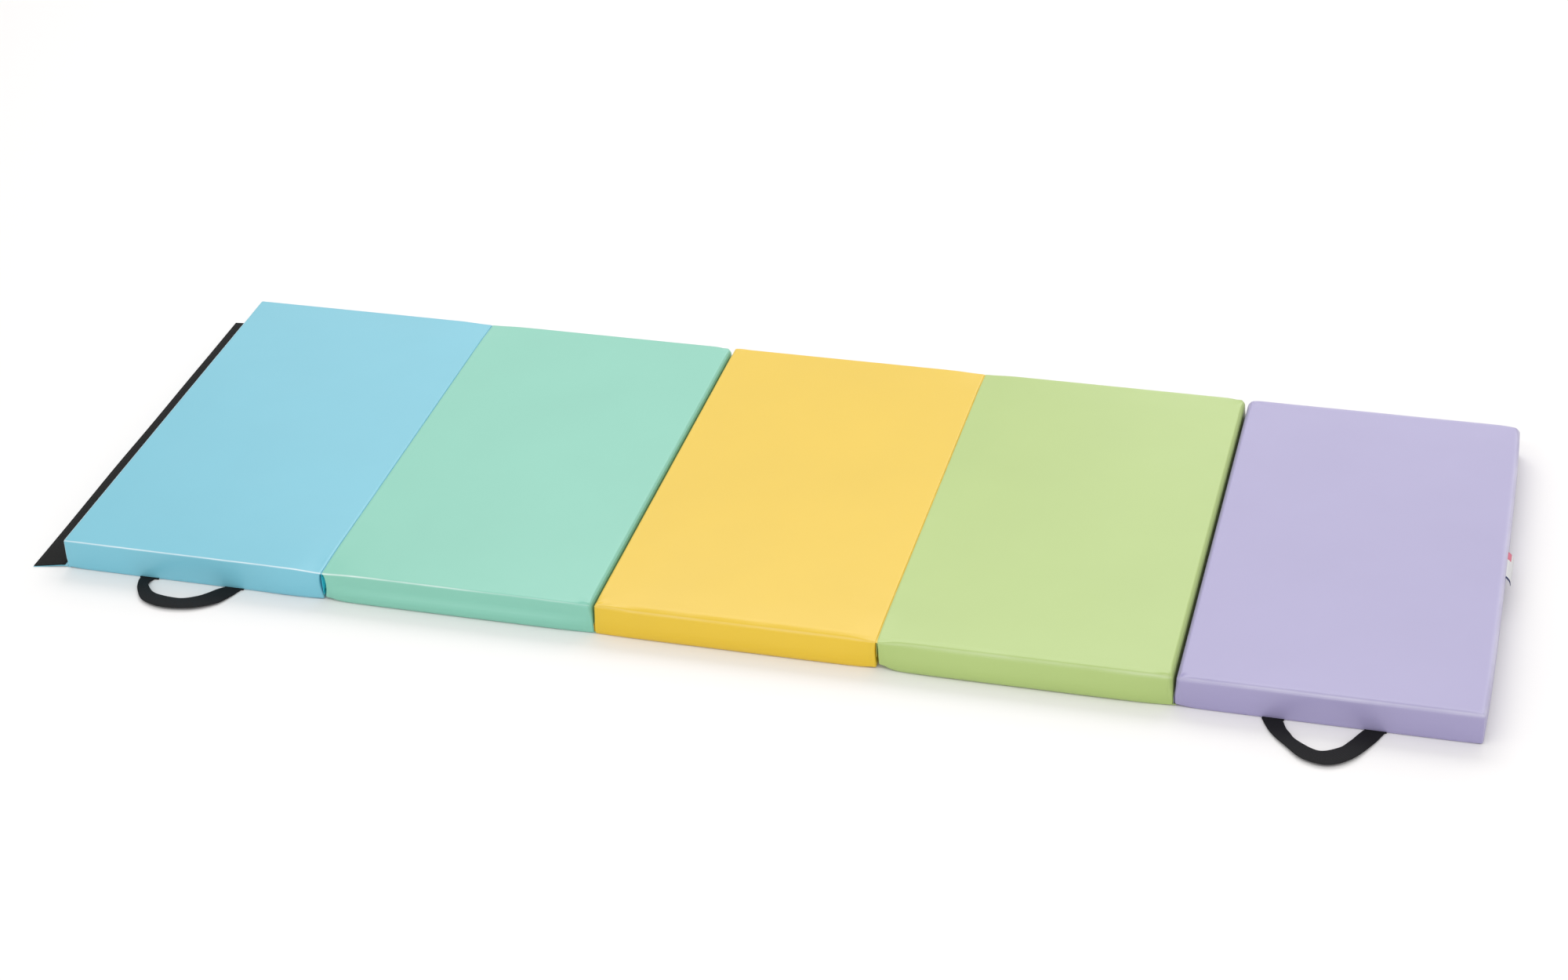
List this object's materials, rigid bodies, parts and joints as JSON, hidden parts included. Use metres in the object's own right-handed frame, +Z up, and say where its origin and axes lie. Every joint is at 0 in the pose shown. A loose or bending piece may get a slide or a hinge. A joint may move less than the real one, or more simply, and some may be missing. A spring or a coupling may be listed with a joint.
{
  "type": "folding gym mat",
  "caption": "Folding gym mat of padded vinyl panels in pastel colours, hinged on alternate top and bottom seams, with webbing handles and a hook-tape end flap.",
  "frame": {"origin": "centre of the middle (yellow) panel's underside, on the floor", "axes": "+X along the mat from the blue end to the lilac end, +Y from the handle side to the back, +Z up"},
  "size_m": [2.3114, 0.8941, 0.054],
  "materials": {
    "vinyl_blue": "smooth pastel blue PVC-coated artificial leather, soft gloss",
    "vinyl_mint": "smooth pastel mint PVC-coated artificial leather, soft gloss",
    "vinyl_yellow": "smooth pastel yellow PVC-coated artificial leather, soft gloss",
    "vinyl_lime": "smooth pastel lime PVC-coated artificial leather, soft gloss",
    "vinyl_lilac": "smooth pastel lilac PVC-coated artificial leather, soft gloss",
    "foam": "white closed-cell polyethylene foam, cut faces",
    "zip_tape": "woven polyester zip tape, pale grey",
    "zip_chain": "nylon coil, pale grey",
    "slider_metal": "enamelled zinc slider, pale grey",
    "webbing": "black woven polypropylene webbing",
    "flap_vinyl": "pastel blue PVC-coated artificial leather",
    "hook_tape": "black nylon hook tape",
    "loop_tape": "black brushed loop tape",
    "label": "white woven label, blank"
  },
  "bodies": {
    "panel_blue": {"foam_core_blue": "foam", "top_sheet_blue": "vinyl_blue", "bottom_sheet_blue": "vinyl_blue", "left_wall_blue": "vinyl_blue", "right_wall_blue": "vinyl_blue", "back_wall_blue": "vinyl_blue", "zip_tape_blue": "zip_tape", "zip_chain_blue": "zip_chain", "fold_seam_blue_mint": "vinyl_blue", "handle_ends_left": "webbing", "flap_hem": "flap_vinyl"},
    "panel_mint": {"foam_core_mint": "foam", "top_sheet_mint": "vinyl_mint", "bottom_sheet_mint": "vinyl_mint", "left_wall_mint": "vinyl_mint", "right_wall_mint": "vinyl_mint", "back_wall_mint": "vinyl_mint", "zip_tape_mint": "zip_tape", "zip_chain_mint": "zip_chain", "fold_seam_mint_yellow": "vinyl_mint"},
    "panel_yellow": {"foam_core_yellow": "foam", "top_sheet_yellow": "vinyl_yellow", "bottom_sheet_yellow": "vinyl_yellow", "left_wall_yellow": "vinyl_yellow", "right_wall_yellow": "vinyl_yellow", "back_wall_yellow": "vinyl_yellow", "zip_tape_yellow": "zip_tape", "zip_chain_yellow": "zip_chain", "fold_seam_yellow_lime": "vinyl_yellow"},
    "panel_lime": {"foam_core_lime": "foam", "top_sheet_lime": "vinyl_lime", "bottom_sheet_lime": "vinyl_lime", "left_wall_lime": "vinyl_lime", "right_wall_lime": "vinyl_lime", "back_wall_lime": "vinyl_lime", "zip_tape_lime": "zip_tape", "zip_chain_lime": "zip_chain", "fold_seam_lime_lilac": "vinyl_lime"},
    "panel_lilac": {"foam_core_lilac": "foam", "top_sheet_lilac": "vinyl_lilac", "bottom_sheet_lilac": "vinyl_lilac", "left_wall_lilac": "vinyl_lilac", "right_wall_lilac": "vinyl_lilac", "back_wall_lilac": "vinyl_lilac", "zip_tape_lilac": "zip_tape", "zip_chain_lilac": "zip_chain", "handle_ends_right": "webbing", "loop_strip": "loop_tape", "label_tab": "label"},
    "slider_blue": {"zip_slider_blue": "slider_metal"},
    "slider_mint": {"zip_slider_mint": "slider_metal"},
    "slider_yellow": {"zip_slider_yellow": "slider_metal"},
    "slider_lime": {"zip_slider_lime": "slider_metal"},
    "slider_lilac": {"zip_slider_lilac": "slider_metal"},
    "handle_left": {"handle_left": "webbing"},
    "handle_right": {"handle_right": "webbing"},
    "end_flap": {"end_flap": "flap_vinyl", "hook_strip": "hook_tape"}
  },
  "joints": [
    {"name": "fold_blue_mint", "type": "hinge", "parent": "panel_blue", "child": "panel_mint", "pos_m": [-0.675, 0, 0.0545], "axis": [0, -1, 0], "range_deg": [0, 179.9]},
    {"name": "fold_mint_yellow", "type": "hinge", "parent": "panel_mint", "child": "panel_yellow", "pos_m": [-0.225, 0, -0.0005], "axis": [0, 1, 0], "range_deg": [0, 179.9]},
    {"name": "fold_yellow_lime", "type": "hinge", "parent": "panel_yellow", "child": "panel_lime", "pos_m": [0.225, 0, 0.0545], "axis": [0, -1, 0], "range_deg": [0, 179.9]},
    {"name": "fold_lime_lilac", "type": "hinge", "parent": "panel_lime", "child": "panel_lilac", "pos_m": [0.675, 0, -0.0005], "axis": [0, 1, 0], "range_deg": [0, 179.9]},
    {"name": "handle_left_swing", "type": "hinge", "parent": "panel_blue", "child": "handle_left", "pos_m": [-0.9, -0.4024, 0.001], "axis": [-1, 0, 0], "range_deg": [0, 90]},
    {"name": "handle_right_swing", "type": "hinge", "parent": "panel_lilac", "child": "handle_right", "pos_m": [0.9, -0.4024, 0.001], "axis": [-1, 0, 0], "range_deg": [0, 90]},
    {"name": "end_flap_fold", "type": "hinge", "parent": "panel_blue", "child": "end_flap", "pos_m": [-1.1254, 0, 0.0012], "axis": [0, 1, 0], "range_deg": [0, 90]},
    {"name": "zip_blue_slide", "type": "slide", "parent": "panel_blue", "child": "slider_blue", "axis": [-1, 0, 0], "range_m": [0, 0.4]},
    {"name": "zip_mint_slide", "type": "slide", "parent": "panel_mint", "child": "slider_mint", "axis": [-1, 0, 0], "range_m": [0, 0.4]},
    {"name": "zip_yellow_slide", "type": "slide", "parent": "panel_yellow", "child": "slider_yellow", "axis": [-1, 0, 0], "range_m": [0, 0.4]},
    {"name": "zip_lime_slide", "type": "slide", "parent": "panel_lime", "child": "slider_lime", "axis": [-1, 0, 0], "range_m": [0, 0.4]},
    {"name": "zip_lilac_slide", "type": "slide", "parent": "panel_lilac", "child": "slider_lilac", "axis": [-1, 0, 0], "range_m": [0, 0.4]}
  ]
}
